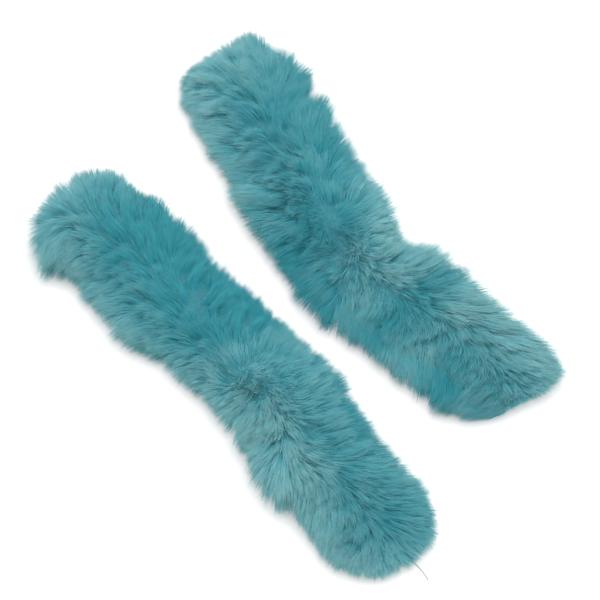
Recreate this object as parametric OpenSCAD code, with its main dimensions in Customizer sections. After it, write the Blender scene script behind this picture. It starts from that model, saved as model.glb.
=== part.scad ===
// A pair of detachable faux-fur cuffs.
// Each cuff is a lined strip of long-pile fur cloth, and press studs sewn to its lining hold it to a sleeve.
// The pair lies loose on a flat surface at z = 0, pile up. +X runs along the strips and +Z points up.

/* [Sewn strip] */
// Length of a sewn strip, without its pile
strip_len = 350; // [280:5:460]
// Width of a sewn strip, without its pile
strip_w = 52; // [44:1:70]
// Squareness of the sewn ends: 2 is a half round, more is squarer
strip_squareness = 4; // [2.5:0.1:6]

/* [Pile] */
// Reach of the left strip's pile past its sewn sides
left_reach = 15.5; // [12:0.5:26]
// Reach of the right strip's pile past its sewn sides
right_reach = 20; // [12:0.5:26]
// Reach of the pile past the sewn ends
end_reach = 19; // [12:0.5:26]
// Height of the pile's crest above the cloth that it grows from
pile_rise = 16.5; // [12:0.5:30]
// Height above the floor of the line where the pile is widest
widest_z = 9; // [6:0.5:14]
// How far the pile tucks in under its widest line, down to the floor
floor_tuck = 6; // [3:0.5:9]
// Squareness of the pile's ends, seen from above
pile_squareness = 2.1; // [2:0.1:4]
// Fullness of the pile's crown: 2 is an ellipse, more is fuller
crown_fullness = 2.6; // [2:0.1:3.5]
// How far tufts stand out and draw in, along the sides and the crown
tuft_relief = 1.6; // [0:0.1:3]
// Distance between the tufts along a strip
tuft_pitch = 36; // [26:1:60]
// How far the pile lifts off the floor at a strip's very end
end_lift = 1.5; // [1:0.1:3]
// Length over which that lift dies out
lift_run = 50; // [35:1:80]

/* [Cloth] */
// Thickness of the knitted cloth that carries the pile
backing_t = 1; // [0.8:0.1:2]
// Width of the hem that the fur cloth is turned in by
hem_w = 8; // [5:0.5:12]
// Thickness of the lining
lining_t = 0.4; // [0.2:0.05:0.8]
// Distance from the sewn edge in to the lining's edge
lining_inset = 3; // [2:0.5:4.5]
// Room left round a layer that lies inside another
cloth_gap = 0.5; // [0.3:0.05:1]

/* [Press studs] */
// Press studs along a strip
stud_count = 4; // [2:1:6]
// Distance from a sewn end to the middle of the nearest stud
stud_end = 30; // [20:1:50]
// Diameter of a stud's flange
flange_d = 12; // [11:0.5:15]
// Thickness of a stud's flange
flange_t = 0.7; // [0.5:0.1:1]
// Diameter of a stud's head
head_d = 4; // [3:0.1:5]
// Length of the straight band round a stud's head
head_band = 1; // [0.6:0.1:1.5]
// Height of the rounded tip below that band
head_tip = 0.5; // [0.3:0.1:0.8]
// Diameter of the neck that the socket's spring grips
neck_d = 3; // [2:0.1:3.5]
// Length of the neck
neck_len = 0.8; // [0.5:0.1:1.2]
// Diameter of a sewing hole
sew_hole_d = 1.6; // [1.4:0.1:2]
// Diameter of the circle that the sewing holes lie on
sew_circle_d = 9; // [8:0.1:9.2]
// Gap between a stud's tip and the floor
stud_floor_gap = 0.4; // [0.2:0.1:1]
// Side of the square stay behind a stud
stay_w = 15; // [12:0.5:18]
// Thickness of a stay
stay_t = 0.6; // [0.3:0.1:0.7]

/* [Thread] */
// Diameter of the sewing thread
thread_d = 0.4; // [0.3:0.05:0.5]
// Distance between the stitches that hold the lining to the hem
stitch_pitch = 8; // [5:0.5:12]
// Reach of such a stitch to each side of the lining's edge
stitch_reach = 0.8; // [0.6:0.1:1]
// Slant of such a stitch across the lining's edge
stitch_slant = 25; // [0:1:40]
// Room between a thread and what it passes
thread_gap = 0.2; // [0.1:0.05:0.3]

/* [How the strips lie] */
// Angle by which the left strip sways to one side and back
left_sway = 9; // [0:0.5:12]
// Place of the middle of that sway, from the pile's near end
left_sway_at = 215; // [150:1:250]
// Distance from there to where the sway starts and ends
left_sway_run = 82; // [60:1:95]
// Heading of the right strip where it starts
right_heading = -10; // [-20:0.5:10]
// Angle of the right strip's bend
right_bend = 20; // [0:0.5:25]
// Place of that bend, from the pile's near end
right_bend_at = 226; // [150:1:260]
// How far the pile is pinched in on the inside of that bend
right_pinch = 5; // [0:0.5:8]
// Length over which a bend turns
bend_run = 50; // [35:1:80]
// How far the left strip's crown leans over to its right
left_lean = 8; // [0:0.5:12]
// How far the right strip's crown leans over to its left
right_lean = 11; // [0:0.5:12]
// How far a tuft stands out on the right of the left strip's near end
left_tuft = 13; // [0:0.5:15]
// How much less the pile reaches past the right strip's far end
right_short = 7; // [0:0.5:8]
// How far the left strip's near end is pulled askew, out on its right side
left_skew = 3; // [0:0.5:14]
// How far the right strip's far end is pulled askew, out on its left side
right_skew = 12; // [0:0.5:14]
// Length over which an end is pulled askew
skew_run = 75; // [60:1:100]
// How far the right strip starts behind the left one
right_start_x = -26; // [-60:1:60]
// How far the right strip starts to the side of the left one
right_start_y = 158; // [140:1:220]

/* [Hidden] */
$fn = 32;
fur_teal = [0.33, 0.59, 0.62];
backing_teal = [0.24, 0.45, 0.48];
lining_teal = [0.22, 0.42, 0.46];
wadding_white = [0.9, 0.9, 0.87];
thread_dark = [0.16, 0.24, 0.26];
nickel = [0.72, 0.72, 0.7];

// Heights of the layers, from the floor up
stud_h = flange_t + neck_len + head_band + head_tip;
lining_z = stud_floor_gap + stud_h;
hem_z = lining_z + lining_t;
backing_z = hem_z + backing_t;
pile_z = backing_z + backing_t;
crest_z = pile_z + pile_rise;

// Depth by which a cutting solid runs past the face that it opens
cut_over = 1;
pile_len = strip_len + 2 * end_reach;
// Height of the tufts' relief along the crest
crest_relief = 0.8 * tuft_relief;

// Grid of the pile: stations along a side, rings up the crown and rings under its widest line
stations = 64;
crown_rings = 8;
tuck_rings = 3;
// How much closer the stations lie at the ends than in the middle, from 0 to 1
end_crowding = 0.7;
// Angle round the crown's profile at which it closes along the crest
crest_angle = 88;
// Step of the tables that follow the strips' centre lines
path_step = 2;

// A ramp from 0 to 1 with level ends
function ramp(t) = let (c = min(max(t, 0), 1)) c * c * (3 - 2 * c);

function sum(list) = [for (v = list) 1] * list;

// Heading at a place along a strip, from its first heading and its bends, each a place and an angle
function heading(start, bends, s) = start + sum([for (b = bends) b[1] * ramp((s - b[0]) / bend_run + 0.5)]);

// Centre line as a table of x, y and heading, one row for each step
function path(origin, start, bends) =
    [for (i = 0, p = origin, h = heading(start, bends, 0);
          i <= ceil(pile_len / path_step);
          p = p + path_step * [cos(h), sin(h)], i = i + 1, h = heading(start, bends, i * path_step))
        [p.x, p.y, h]];

// Row of that table at any place along the strip
function along(path, s) =
    let (k = min(max(s / path_step, 0), len(path) - 1.001), i = floor(k))
    path[i] + (k - i) * (path[i + 1] - path[i]);

// Point beside the centre line
function beside(path, s, off) =
    let (p = along(path, s))
    [p.x - off * sin(p.z), p.y + off * cos(p.z)];

// Share of the length reached at a station, with the stations crowded at both ends
function share(i) = let (t = i / stations) t - end_crowding * sin(360 * t) / (2 * PI);

// Share of the half width left at a distance t, in half widths, from a rounded end
function end_round(t, n) = t >= 1 ? 1 : pow(1 - pow(1 - max(t, 0), n), 1 / n);

// Rounds of an outline as pairs of station and side: out along the left, back along the right
loop = concat(
    [for (i = [0 : stations]) [i, 1]],
    [for (i = [stations - 1 : -1 : 1]) [i, -1]]
);

// Closed outline of half width w that starts and ends e short of the pile's ends
function outline(path, w, e, n) =
    [for (q = loop)
        let (s = e + (pile_len - 2 * e) * share(q[0]))
        beside(path, s, q[1] * w * end_round(min(s, pile_len - s) / w - e / w, n))];

// Outline of a cloth layer, set in from the sewn edge
function sewn(path, inset) = outline(path, strip_w / 2 - inset, end_reach + inset, strip_squareness);

// Where a side of the pile swells out past its reach, or draws in: the left side's swells, then the right's.
// A swell's place and run are shares of the pile's length, and how far it goes is a share of the reach.
left_swells = [
    [[0.23, 0.3, 0.08], [0.56, -0.2, 0.06]],
    [[0.11, left_tuft / left_reach, 0.045], [0.3, 0.2, 0.09], [0.57, 0.2, 0.05]]
];
right_swells = [
    [[0.14, 0.3, 0.09], [0.55, -right_pinch / right_reach, 0.055], [0.675, 0.25, 0.055], [0.84, -0.2, 0.05]],
    [[0.04, -0.4, 0.05], [0.5, 0.15, 0.09]]
];

// A strip: its name, the reach of its pile, what that lacks at the far end, its crown's lean to the left,
// the skew of its near and far ends, and its swells
function strip_name(strip) = strip[0];
function reach(strip) = strip[1];
function far_short(strip) = strip[2];
function lean(strip) = strip[3];
function near_skew(strip) = strip[4];
function far_skew(strip) = strip[5];
function swells(strip) = strip[6];
left = ["left", left_reach, 0, -left_lean, left_skew, 0, left_swells];
right = ["right", right_reach, right_short, right_lean, 0, right_skew, right_swells];

// Relief of the tufts along one side of a strip, from -1 to 1: two waves that drift in and out of step
function tufts(s, side) =
    0.6 * sin(360 * s / tuft_pitch + 70 * side) + 0.4 * sin(360 * s / (1.7 * tuft_pitch) + 200 * side);

// How far one side of the pile swells out past its reach
function swell(strip, s, side) =
    let (at = s / pile_len, one_side = swells(strip)[side > 0 ? 0 : 1])
    reach(strip) * sum([for (v = one_side) v[1] * exp(-pow((at - v[0]) / v[2], 2))]);

// How far along the strip an end that is askew moves the pile's left edge, and its right edge the other way
function askew(strip, s) =
    near_skew(strip) * (1 - ramp(s / skew_run)) + far_skew(strip) * (1 - ramp((pile_len - s) / skew_run));

// Lift of the pile off the floor towards a strip's ends
function lift(s) = end_lift * (1 - ramp(min(s, pile_len - s) / lift_run));

// Ring of the pile at depth f, which is 0 at its outermost, 1 over the sewn edge and more towards the crest.
// soft is the share of the tufts, swells and skew that it takes, up that of the crown's height, low its lift.
function ring(path, strip, f, z, soft, up, low) =
    let (w = strip_w / 2 + reach(strip) * (1 - f),
         first = end_reach * f,
         last = pile_len - end_reach * f - far_short(strip) * (1 - f),
         n = pile_squareness + (strip_squareness - pile_squareness) * min(f, 1))
    [for (q = loop)
        let (s = first + (last - first) * share(q[0]),
             wide = w + soft * (tuft_relief * tufts(s, q[1]) + swell(strip, s, q[1])),
             off = q[1] * wide * end_round(min(s - first, last - s) / w, n),
             slip = soft * askew(strip, s) * off / w,
             turn = along(path, s).z,
             p = beside(path, s, off + up * lean(strip)) + slip * [cos(turn), sin(turn)])
        [p.x, p.y, z + up * crest_relief * tufts(s + tuft_pitch / 3, q[1]) + low * lift(s)]];

// Rings from the crest out over the crown to the widest line
function crown(path, strip) =
    [for (k = [0 : crown_rings])
        let (a = crest_angle * (1 - k / crown_rings),
             in = 1 - pow(cos(a), 2 / crown_fullness),
             up = pow(sin(a), 2 / crown_fullness),
             f = in * (1 + strip_w / 2 / reach(strip)))
        ring(path, strip, f, widest_z + (crest_z - widest_z) * up, max(0, 1 - f), up, 0)];

// Rings from the widest line down to the floor, then in to the recess and up its wall to the cloth
function underside(path, strip) =
    let (recess = 1 - cloth_gap / reach(strip))
    concat(
        [for (k = [1 : tuck_rings])
            let (b = 90 * k / tuck_rings,
                 f = floor_tuck / reach(strip) * (1 - cos(b)))
            ring(path, strip, f, widest_z * (1 - sin(b)), max(0, 1 - f), 0, sin(b))],
        [ring(path, strip, recess, 0, 0, 0, 1)],
        [ring(path, strip, recess, pile_z, 0, 0, 0)]
    );

// Corners of a flat or crested cap across a loop, in strips between its two sides
function cap(first) =
    let (n = len(loop))
    concat(
        [[first, first + 1, first + n - 1]],
        [for (i = [1 : stations - 2]) each [
            [first + i, first + i + 1, first + n - i],
            [first + i + 1, first + n - i - 1, first + n - i]]],
        [[first + stations - 1, first + stations, first + stations + 1]]
    );

function flipped(faces) = [for (f = faces) [f[2], f[1], f[0]]];

// Triangles between each loop of n points and the next
function bands(count, n) =
    [for (k = [0 : count - 2], i = [0 : n - 1])
        let (j = (i + 1) % n, a = k * n, b = a + n)
        each [[a + i, b + i, b + j], [a + i, b + j, a + j]]];

// Centre lines, moved so that the pair's box is centred on the origin
left_bends = [[left_sway_at - left_sway_run, left_sway],
              [left_sway_at, -2 * left_sway],
              [left_sway_at + left_sway_run, left_sway]];
left_raw = path([0, 0], 0, left_bends);
right_raw = path([right_start_x, right_start_y], right_heading, [[right_bend_at, right_bend]]);
crowns = [for (r = concat(crown(left_raw, left), crown(right_raw, right))) each r];
crowns_x = [for (p = crowns) p.x];
crowns_y = [for (p = crowns) p.y];
middle = [min(crowns_x) + max(crowns_x), min(crowns_y) + max(crowns_y), 0] / 2;
left_path = [for (p = left_raw) p - middle];
right_path = [for (p = right_raw) p - middle];

// Place along a strip of a stud, counted from 1
function stud_at(k) = end_reach + stud_end + (k - 1) * (strip_len - 2 * stud_end) / (stud_count - 1);

// Pile: soft fibres standing on the cloth, as one body with a crown, tufted sides and a recess for the strip
module fur_pile(path, strip) {
    rings = concat(crown(path, strip), underside(path, strip));
    n = len(loop);
    last = (len(rings) - 1) * n;
    color(fur_teal)
    polyhedron(
        points = [for (r = rings) each r],
        faces = concat(cap(0), bands(len(rings), n), flipped(cap(last))),
        convexity = 6
    );
}

// One layer of cloth, cut to the sewn outline less an inset
module layer(path, inset, z, t) {
    translate([0, 0, z])
    linear_extrude(t)
    polygon(sewn(path, inset));
}

// Knitted cloth that carries the pile, with its edge turned in all round as a hem
module fur_backing(path) {
    color(backing_teal)
    difference() {
        layer(path, 0, hem_z, 2 * backing_t);
        layer(path, hem_w, hem_z - cut_over, backing_t + cut_over);
    }
}

// Moves what is drawn at the origin to a stud's place, turned along the strip
module at_stud(path, k, z) {
    p = along(path, stud_at(k));
    translate([p.x, p.y, z])
    rotate(p.z)
    children();
}

// Soft filling inside the hem, recessed for the stays
module interlining(path) {
    pocket_w = stay_w + 2 * cloth_gap;
    color(wadding_white)
    difference() {
        layer(path, hem_w + cloth_gap, hem_z, backing_t);
        for (k = [1 : stud_count])
            at_stud(path, k, hem_z - cut_over)
            linear_extrude(stay_t + cut_over)
            square(pocket_w, center = true);
    }
}

// Woven lining that closes the underside
module lining(path) {
    color(lining_teal)
    layer(path, lining_inset, lining_z, lining_t);
}

// Square stay of firm cloth that spreads a stud's pull
module stud_stay(path, k) {
    color(wadding_white)
    at_stud(path, k, hem_z)
    linear_extrude(stay_t)
    square(stay_w, center = true);
}

// Half of a press stud: a sewn-on flange with a neck and a head that points down to its socket
module press_stud(path, k) {
    flange_r = flange_d / 2;
    head_r = head_d / 2;
    neck_r = neck_d / 2;
    head_z = -flange_t - neck_len;
    tip_z = head_z - head_band;
    round_tip = [for (a = [0 : 15 : 75])
        [head_r - head_tip * (1 - cos(a)), tip_z - head_tip * sin(a)]];
    profile = concat(
        [[0, 0], [flange_r, 0], [flange_r, -flange_t]],
        [[neck_r, -flange_t], [neck_r, head_z], [head_r, head_z]],
        round_tip,
        [[head_r - head_tip, tip_z - head_tip], [0, tip_z - head_tip]]
    );
    color(nickel)
    at_stud(path, k, lining_z)
    difference() {
        rotate_extrude() polygon(profile);
        for (a = [0 : 90 : 270])
            rotate(a)
            translate([sew_circle_d / 2, 0, -flange_t - cut_over])
            cylinder(h = flange_t + 2 * cut_over, d = sew_hole_d);
    }
}

// Half ring of thread hanging under z = 0 from -r to r along X
module thread_arch(r) {
    rotate([-90, 0, 0])
    rotate_extrude(angle = 180)
    translate([r, 0])
    circle(d = thread_d);
}

// Threads that sew a stud on: through each hole, round the flange's rim and up into the lining
module stud_stitching(path, k) {
    hole_x = sew_circle_d / 2;
    outer_x = flange_d / 2 + thread_gap + thread_d / 2;
    side = (thread_d + thread_gap) / 2;
    color(thread_dark)
    at_stud(path, k, lining_z - flange_t)
    for (a = [0 : 90 : 270], y = [-side, side])
        rotate(a)
        translate([0, y, 0]) {
            translate([(hole_x + outer_x) / 2, 0, 0])
            thread_arch((outer_x - hole_x) / 2);
            for (x = [hole_x, outer_x])
                translate([x, 0, 0])
                cylinder(h = flange_t, d = thread_d);
        }
}

// Row of slanting stitches over the lining's edge, each tilted so that it runs from the lining to the hem
module lining_stitching(path) {
    tilt = atan2(lining_t, 2 * stitch_reach);
    drop = thread_d / 2 * sin(tilt);
    edge = sewn(path, lining_inset);
    n = len(edge);
    run = [for (i = 0, d = 0; i <= n; d = d + norm(edge[(i + 1) % n] - edge[i % n]), i = i + 1) [d, i]];
    count = floor(run[n][0] / stitch_pitch);
    color(thread_dark)
    for (k = [0 : count - 1]) {
        place = lookup((k + 0.5) * run[n][0] / count, run);
        i = floor(place);
        from = edge[i];
        to = edge[(i + 1) % n];
        at = from + (place - i) * (to - from);
        out = atan2(to.x - from.x, from.y - to.y);
        translate([at.x, at.y, lining_z + lining_t / 2 - drop])
        rotate(out + stitch_slant)
        rotate([0, -tilt, 0])
        thread_arch(stitch_reach);
    }
}

// Loose tail of thread at the left strip's far end, from the hem down to the floor and out under the pile.
// Its route starts at the hem's underside and runs outward from the sewn end.
tail_route = [
    [-1.2, 0, hem_z], [-1.2, 0, 2.4], [-1, 0, 1.4], [-0.4, 0, 0.7], [0.6, 0.1, 0.35], [2, 0.2, 0.25],
    [5, 0.6, 0.25], [9, 1, 0.25], [13, 0.9, 0.25], [17, 0.4, 0.25], [21, -0.3, 0.25], [25, -0.8, 0.25],
    [29, -0.9, 0.25], [33, -0.4, 0.25], [37, 0.6, 0.25]
];
// Rings between two points of that route, and sides of the thread
tail_steps = 3;
tail_sides = 8;

// Point at t of the way from p to q on a smooth curve through o, p, q and r
function curve(o, p, q, r, t) =
    p + (t * (q - o) + t * t * (2 * o - 5 * p + 4 * q - r) + t * t * t * (3 * p - o - 3 * q + r)) / 2;

function smooth(pts, steps) =
    let (n = len(pts))
    concat(
        [for (i = [0 : n - 2], k = [0 : steps - 1])
            curve(pts[max(i - 1, 0)], pts[i], pts[i + 1], pts[min(i + 2, n - 1)], k / steps)],
        [pts[n - 1]]
    );

function unit(v) = v / norm(v);

// Corners round a thread at a point that it passes in direction t, which is never along Y
function thread_ring(p, t) =
    let (u = unit(cross([0, 1, 0], t)), v = cross(t, u))
    [for (k = [0 : tail_sides - 1])
        let (a = 360 * k / tail_sides)
        p + thread_d / 2 * (cos(a) * u + sin(a) * v)];

module thread_tail(path) {
    line = smooth(tail_route, tail_steps);
    n = len(line);
    rings = [for (i = [0 : n - 1])
        thread_ring(line[i], i == 0 ? [0, 0, -1] : unit(line[min(i + 1, n - 1)] - line[i - 1]))];
    last = (n - 1) * tail_sides;
    near_cap = [for (k = [0 : tail_sides - 1]) k];
    far_cap = [for (k = [tail_sides - 1 : -1 : 0]) last + k];
    end = along(path, pile_len - end_reach);
    color(thread_dark)
    translate([end.x, end.y, 0])
    rotate(end.z)
    polyhedron(
        points = [for (r = rings) each r],
        faces = concat([near_cap], bands(n, tail_sides), [far_cap]),
        convexity = 4
    );
}

// Names of the pieces of one cuff, and of the whole pair
layers = ["fur_pile", "fur_backing", "interlining", "lining", "lining_stitching"];
stud_pieces = ["press_stud", "stud_stay", "stud_stitching"];
function cuff_nodes(name) = concat(
    [for (piece = layers) str(name, "_", piece)],
    [for (piece = stud_pieces, k = [1 : stud_count]) str(name, "_", piece, "_", k)]
);

for (cuff = [[left, left_path], [right, right_path]]) {
    name = strip_name(cuff[0]);
    line = cuff[1];
    fur_pile(line, cuff[0]);
    fur_backing(line);
    interlining(line);
    lining(line);
    lining_stitching(line);
    for (k = [1 : stud_count]) {
        press_stud(line, k);
        stud_stay(line, k);
        stud_stitching(line, k);
    }
}
thread_tail(left_path);  // left_thread_tail
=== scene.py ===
"""A pair of teal faux-fur cuffs lying on a pale floor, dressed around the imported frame.

Lengths are in metres. Each cuff has strip coordinates: s runs along its centre line from the tips of the
pile at its near end to those at its far end, y runs to its left, and z is the height above the floor.
"""
import math

import bpy
import numpy as np
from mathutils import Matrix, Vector


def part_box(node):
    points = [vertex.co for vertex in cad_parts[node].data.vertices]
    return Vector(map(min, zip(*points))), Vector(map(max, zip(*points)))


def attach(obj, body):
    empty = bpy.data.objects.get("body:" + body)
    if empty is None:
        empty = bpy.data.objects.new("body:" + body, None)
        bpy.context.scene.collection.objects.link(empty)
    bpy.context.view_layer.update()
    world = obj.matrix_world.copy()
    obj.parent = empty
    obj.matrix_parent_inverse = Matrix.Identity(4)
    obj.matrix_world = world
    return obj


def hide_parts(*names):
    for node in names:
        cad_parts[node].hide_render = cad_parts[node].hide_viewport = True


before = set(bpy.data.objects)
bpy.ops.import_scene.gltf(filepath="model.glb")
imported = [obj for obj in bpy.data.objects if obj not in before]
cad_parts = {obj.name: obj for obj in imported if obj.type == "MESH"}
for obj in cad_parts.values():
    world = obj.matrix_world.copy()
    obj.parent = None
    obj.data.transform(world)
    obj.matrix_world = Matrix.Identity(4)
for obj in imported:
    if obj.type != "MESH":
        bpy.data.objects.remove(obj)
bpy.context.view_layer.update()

MM = 0.001

# Sewn strip and its layers, from the floor up
STRIP_LEN = 350 * MM
STRIP_W = 52 * MM
STRIP_SQUARENESS = 4
END_REACH = 19 * MM
HEM_W = 8 * MM
BACKING_T = 1 * MM
LINING_INSET = 3 * MM
LINING_T = 0.4 * MM
CLOTH_GAP = 0.5 * MM
STAY_W = 15 * MM
STAY_T = 0.6 * MM
STITCH_PITCH = 8 * MM
STUD_COUNT = 4
STUD_END = 30 * MM
THREAD_D = 0.4 * MM
LINING_Z = 3.4 * MM
HEM_Z = LINING_Z + LINING_T
BACKING_Z = HEM_Z + BACKING_T
PILE_Z = BACKING_Z + BACKING_T
PILE_LEN = STRIP_LEN + 2 * END_REACH
HALF_W = STRIP_W / 2
WADDING_INSET = HEM_W + CLOTH_GAP

# How the strips lie
BEND_RUN = 50 * MM
SKEW_RUN = 75 * MM
PATH_STEP = 2 * MM

# Each cuff: bends as place and degrees, then lists of place and value that its pile follows along the strip.
# Reach is how far the pile hangs past the sewn edge, skew how far an end is pulled askew, and parting where
# the pile parts, all in millimetres.
# Nap is how far it leans along the strip, 0 where it turns round, and turn_slant how askew that place lies.
# A swirl turns the pile round a place: s, y and radius in millimetres, then degrees.
# Ruffle is how tousled the pile is.
# Tone is how pale it is, partly painted light and shade that evens out how the pile catches the light along
# the strip. Its rim value adds painted light, paler toward the edge than on the darker spine, and its tilt
# adds painted light and shade, that much paler on the left side, or darker where it is below 0.
CUFFS = {
    "left": dict(
        heading=0,
        bends=[(133, 9), (215, -18), (297, 9)],
        left_reach=[
            (0, 17), (30, 8), (48, 5), (72, 27), (100, 28), (145, 23), (185, 20), (215, 14), (245, 20),
            (262, 19), (302, 25), (330, 23), (365, 15), (388, 13),
        ],
        right_reach=[
            (0, 6), (20, 16), (36, 43), (47, 40), (60, 21), (80, 20), (98, 24), (116, 29), (135, 25),
            (170, 22), (190, 19), (210, 25), (228, 30), (250, 21), (274, 39), (292, 22), (308, 28),
            (325, 26), (342, 22), (358, 12), (370, 4),
        ],
        near_reach=21,
        far_reach=20,
        near_skew=-3,
        far_skew=0,
        parting=[(0, -5), (65, -10), (90, 2), (120, -5), (240, -5), (290, -10), (315, 0), (388, -5)],
        nap=[
            (0, -0.2), (30, -0.4), (60, -1.1), (150, -0.9), (182, -0.6), (218, 0), (254, 0.9), (310, 1.3),
            (350, 1), (388, 0.3),
        ],
        turn_slant=1.4,
        swirls=[(50, -30, 24, 40), (214, -14, 22, 40)],
        ruffle=[(0, 1), (50, 1.35), (190, 1.35), (225, 1), (260, 0.7), (388, 0.75)],
        # Tone: partly painted light and shade along the strip. Rim and tilt: painted light toward the edge
        # and to one side
        tone=[
            (0, 0.3), (40, 0.15), (75, -0.15), (100, -0.35), (165, -0.45), (192, -0.4), (208, 0.4),
            (245, 0.45), (270, 0.25), (300, 0.1), (340, 0), (365, 0.12), (388, -0.15),
        ],
        painted_light_rim=0.6,
        painted_light_tilt=[
            (0, -0.2), (60, -0.3), (150, -0.5), (200, -0.55), (240, -0.95), (280, -0.8), (310, -0.4),
            (335, -0.25), (388, -0.3),
        ],
        seed=11,
    ),
    "right": dict(
        heading=-10,
        bends=[(226, 20)],
        left_reach=[
            (0, 26), (40, 27), (74, 31), (98, 26), (118, 40), (138, 26), (160, 22), (185, 24), (205, 17),
            (224, 18), (245, 31), (280, 32), (308, 28), (345, 22), (362, 10), (370, 4),
        ],
        right_reach=[
            (0, 2), (40, 18), (90, 24), (120, 23), (140, 31), (165, 26), (195, 24), (222, 30), (250, 25),
            (270, 29), (300, 32), (318, 41), (330, 30), (345, 29), (365, 18),
        ],
        near_reach=16,
        far_reach=10,
        near_skew=0,
        far_skew=12,
        parting=[(0, 6), (65, 12), (115, 10), (145, 2), (170, -2), (200, 8), (255, 4), (300, 8), (388, 8)],
        nap=[
            (0, -0.2), (30, -0.5), (60, -0.9), (130, -0.5), (168, -0.2), (188, 0.05), (206, 0.6), (260, 1),
            (345, 1), (388, 0.3),
        ],
        turn_slant=0,
        swirls=[],
        ruffle=[(0, 1), (50, 1.15), (160, 1.2), (200, 1), (260, 0.85), (388, 0.85)],
        # Tone: partly painted light and shade along the strip. Rim and tilt: painted light toward the edge
        # and to one side
        tone=[
            (0, 0.5), (30, 0.7), (45, 0.7), (70, 0.1), (130, 0), (190, 0), (206, 0.5), (240, 0.6),
            (258, -0.1), (288, 0.5), (310, 0.05), (335, 0.3), (388, 0.2),
        ],
        painted_light_rim=0.4,
        painted_light_tilt=[
            (0, -0.1), (40, -0.5), (90, -0.45), (140, -0.15), (170, 0.2), (205, 0.85), (240, 0.85),
            (262, 0), (285, 0.3), (310, 0.55), (388, -0.1),
        ],
        seed=23,
    ),
}

# What is added to a cuff's seed for each of its noises and scatters
(PARTING_SEED, SWAY_SEED, FINE_SWAY_SEED, CLUMP_SEED, LOCK_SEED, PATCH_SEED, LUMP_SEED, CURL_SEED,
 TUFT_SEED) = range(1, 10)

# Fibres of one cuff, on its face and round its folded edge, and how they are shared out over meshes
FIBRES_TOP = 66000
FIBRES_RIM = 38000
TOP_POINTS = 5
RIM_POINTS = 4
TRIANGLES_A_PIECE = 180000
ROOT_DEPTH = 0.3 * MM

# Shares of the fibres that stand out wild, that stay short and fill in, and that lie inside the fringe
WILD_SHARE = 0.05
FILL_SHARE = 0.22
INNER_SHARE = 0.5

# Lengths of fibres: on the face, the least at the edge, and what the edge has to spare for a fibre's curve
FIBRE_LEN = 28 * MM
SHORTEST = 18 * MM
RIM_SPARE = 4 * MM

# Shares of those: for filling fibres, the least for inner ones, what the longest strays have more, what is
# lost under the fold, and for fibres that nothing draws
FILL_LEN = 0.72
INNER_LEN = 0.5
STRAY_MORE = 0.12
UNDER_LESS = 0.25
UNDRAWN_LEN = 0.75

# Shares of the way out: where lengths begin to follow the reach, by where the pile is splayed, where the
# ruffle begins to calm down and over what run, and then how much of it is lost
OUTER_FROM = 0.35
SPLAYED_BY = 0.7
CALM_FROM = 0.5
CALM_RUN = 0.4
CALM_LOSS = 0.65

# How the parting wanders, where the turn of the nap slants, and how far the nap is blended near the edge
PARTING_WANDER = 4 * MM
PARTING_PITCH = 30 * MM
TURN_AT = 0.6 * PILE_LEN
TURN_RUN = 90 * MM
NAP_BLEND = 22 * MM

# The least that a fibre counts as drawn, and how much more tousled it is where nothing draws it: in its turn
# from the pile's way, and at most in its sway
LEAST_PULL = 0.8
TOUSLE = 4
MOST_SWAY = 2

# A fibre's angle off the vertical, in degrees: on the spine, more at the edge, and more under the fold,
# then the power by which it grows toward the edge, and the root's share of a lean
ROOT_SPINE, ROOT_EDGE, ROOT_UNDER = 24, 24, 48
TIP_SPINE, TIP_EDGE, TIP_UNDER = 66, 32, 40
EDGE_POWER = 2.2
ROOT_SHARE = 0.4

# Sway and curl of the fibres: degrees, then pitch along and across the strip. The curl turns about a share
# of the length, and from root to tip a fibre swings from more along to more across the strip.
SWAY = (26, 34 * MM, 26 * MM)
FINE_SWAY = (13, 13 * MM, 13 * MM)
CURL = (40, 20 * MM, 20 * MM)
CURL_ABOUT = 0.3
ROOT_ACROSS, TIP_ACROSS = 0.45, 2

# Clumps of fibres, tufts of clumps and locks of tufts: their pitches
CLUMP_PITCH = 2.2 * MM
RIM_CLUMP_PITCH = 2.6 * MM
TUFT_PITCH = 6 * MM
LOCK_PITCH = 13 * MM

# How far each of them varies: its length as a share, its lean and turn in degrees, and for clumps also the
# degrees that the ruffle adds. Then what a fibre varies by itself, and the turn of a filling one.
CLUMP_LEN, CLUMP_LEAN, CLUMP_TURN, CLUMP_RUFFLE = 0.05, 5, 4, 2
RIM_CLUMP_LEN = 0.055
TUFT_LEN, TUFT_LEAN, TUFT_TURN = 0.05, 8, 10
LOCK_LEN, LOCK_LEAN, LOCK_TURN = 0.04, 9, 14
OWN_LEN, OWN_LEAN, OWN_TURN = 0.07, 5, 6
FILL_TURN = 30

# How far the tips are drawn to their clump, on to its tuft and on to its lock. Wild and filling fibres are
# drawn less to their clump, and keep only a share of the rest.
TO_CLUMP, TO_TUFT, TO_LOCK = 0.45, 0.35, 0.15
FREE_TO_CLUMP = 0.05
FREE_GATHER = 0.3

# Crimp across a fibre, the room that it keeps above the floor, and the soft cap on its height
CRIMP = 0.35 * MM
CRIMP_WAVES = 1.3
FLOOR_CLEAR = 0.4 * MM
FLOOR_SPREAD = 0.8 * MM
CAP_FROM = 21 * MM
CAP_ROOM = 6 * MM

# A fibre's width, how far it varies, a wild one's share of it, the reach past which fringe fibres are
# broader, and by how much at most. Then the blade, in shares: its width at the root, the place where it is
# broadest, how much it thins to the tip, and its depth.
FIBRE_W = 0.26 * MM
OWN_WIDTH = 0.2
WILD_WIDTH = 0.7
BROADER_FROM = 26 * MM
BROADEST = 1.5
BLADE_ROOT = 0.6
BLADE_BROAD_AT = 0.6
BLADE_THINS = 0.75
BLADE_DEPTH = 0.55
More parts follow.
